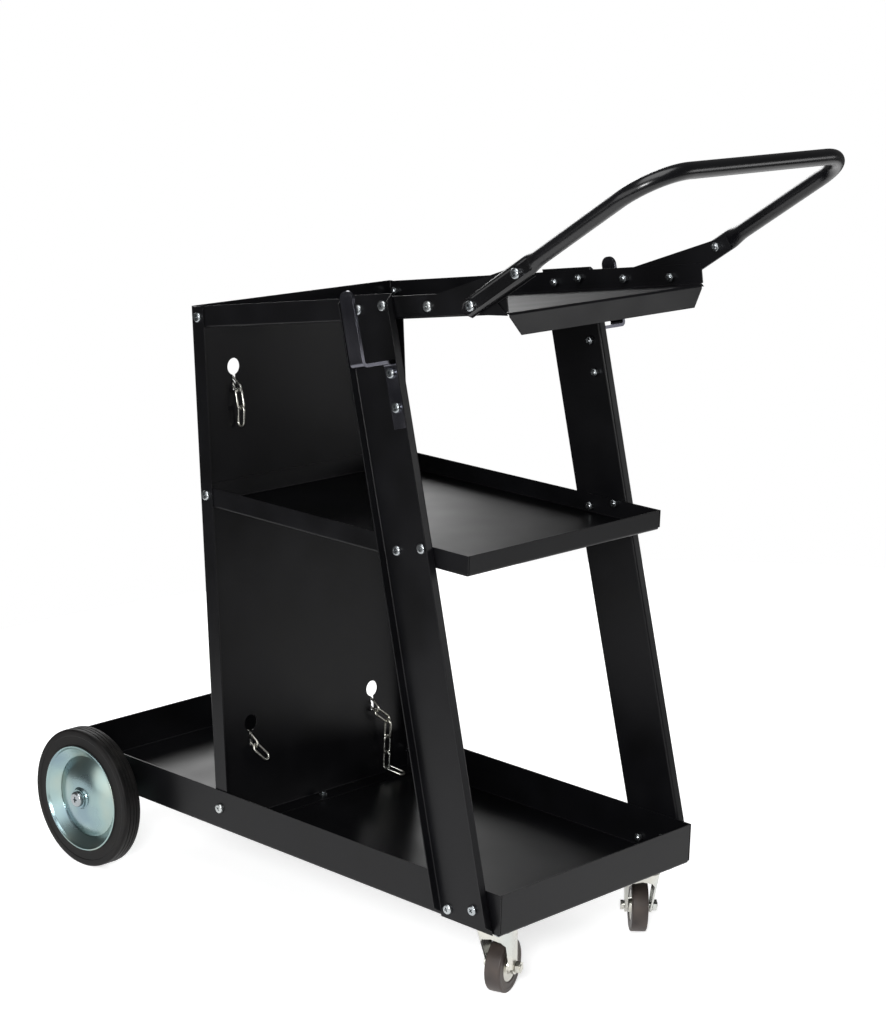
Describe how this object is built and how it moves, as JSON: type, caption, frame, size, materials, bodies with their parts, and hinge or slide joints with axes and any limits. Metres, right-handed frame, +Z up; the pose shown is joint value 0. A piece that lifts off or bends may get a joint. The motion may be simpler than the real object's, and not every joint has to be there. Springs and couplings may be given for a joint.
{
  "type": "three-shelf workshop cart",
  "caption": "Black sheet-steel cart with three shelves, a bottle bay behind a chained back panel, a bent tube handle, hooks, rear wheels and swivel casters.",
  "frame": {"origin": "on the floor under the centre of the bounding box", "axes": "+X to the cart's right, +Y from the handle towards the bottle bay at the rear, +Z up"},
  "size_m": [0.4566, 0.9522, 0.9846],
  "materials": {
    "black_powder_coat": "semi-gloss powder coat",
    "zinc_plate": "bright zinc plate",
    "dark_zinc": "black-passivated zinc plate",
    "tyre_rubber": "moulded rubber",
    "caster_rubber": "moulded rubber"
  },
  "bodies": {
    "frame": {"lower_tray": "black_powder_coat", "middle_shelf": "black_powder_coat", "top_shelf": "black_powder_coat", "back_panel": "black_powder_coat", "handle_tube": "black_powder_coat", "left_post": "black_powder_coat", "right_post": "black_powder_coat", "left_handle_plate": "black_powder_coat", "right_handle_plate": "black_powder_coat", "rear_axle": "zinc_plate", "left_axle_bracket": "zinc_plate", "right_axle_bracket": "zinc_plate", "lower_chain": "zinc_plate", "upper_chain": "zinc_plate", "axle_spacers": "zinc_plate", "axle_washers": "zinc_plate", "axle_caps": "zinc_plate", "left_caster_plate": "zinc_plate", "right_caster_plate": "zinc_plate", "left_caster_kingpin": "zinc_plate", "right_caster_kingpin": "zinc_plate", "post_bolts": "zinc_plate", "panel_bolts": "zinc_plate", "handle_bolts": "zinc_plate", "hook_bolts": "zinc_plate", "caster_bolts": "zinc_plate", "axle_bolts": "zinc_plate", "left_hook": "dark_zinc", "right_hook": "dark_zinc"},
    "left_wheel": {"left_tyre": "tyre_rubber", "left_outer_disc": "zinc_plate", "left_inner_disc": "zinc_plate", "left_hub": "zinc_plate"},
    "left_swivel": {"left_caster_fork": "zinc_plate", "left_caster_axle": "zinc_plate"},
    "left_caster_wheel": {"left_caster_tyre": "caster_rubber", "left_caster_hub": "zinc_plate"},
    "right_wheel": {"right_tyre": "tyre_rubber", "right_outer_disc": "zinc_plate", "right_inner_disc": "zinc_plate", "right_hub": "zinc_plate"},
    "right_swivel": {"right_caster_fork": "zinc_plate", "right_caster_axle": "zinc_plate"},
    "right_caster_wheel": {"right_caster_tyre": "caster_rubber", "right_caster_hub": "zinc_plate"}
  },
  "joints": [
    {"name": "left_wheel_spin", "type": "hinge", "parent": "frame", "child": "left_wheel", "pos_m": [-0.2064, 0.38613, 0.09], "axis": [1, 0, 0], "continuous": true},
    {"name": "left_caster_swivel", "type": "hinge", "parent": "frame", "child": "left_swivel", "pos_m": [-0.132, -0.25657, 0.09], "axis": [0, 0, 1], "continuous": true},
    {"name": "left_caster_spin", "type": "hinge", "parent": "left_swivel", "child": "left_caster_wheel", "pos_m": [-0.11108, -0.24977, 0.0325], "axis": [0.309, -0.9511, 0], "continuous": true},
    {"name": "right_wheel_spin", "type": "hinge", "parent": "frame", "child": "right_wheel", "pos_m": [0.2064, 0.38613, 0.09], "axis": [1, 0, 0], "continuous": true},
    {"name": "right_caster_swivel", "type": "hinge", "parent": "frame", "child": "right_swivel", "pos_m": [0.132, -0.25657, 0.09], "axis": [0, 0, 1], "continuous": true},
    {"name": "right_caster_spin", "type": "hinge", "parent": "right_swivel", "child": "right_caster_wheel", "pos_m": [0.14756, -0.24102, 0.0325], "axis": [0.7071, -0.7071, 0], "continuous": true}
  ]
}
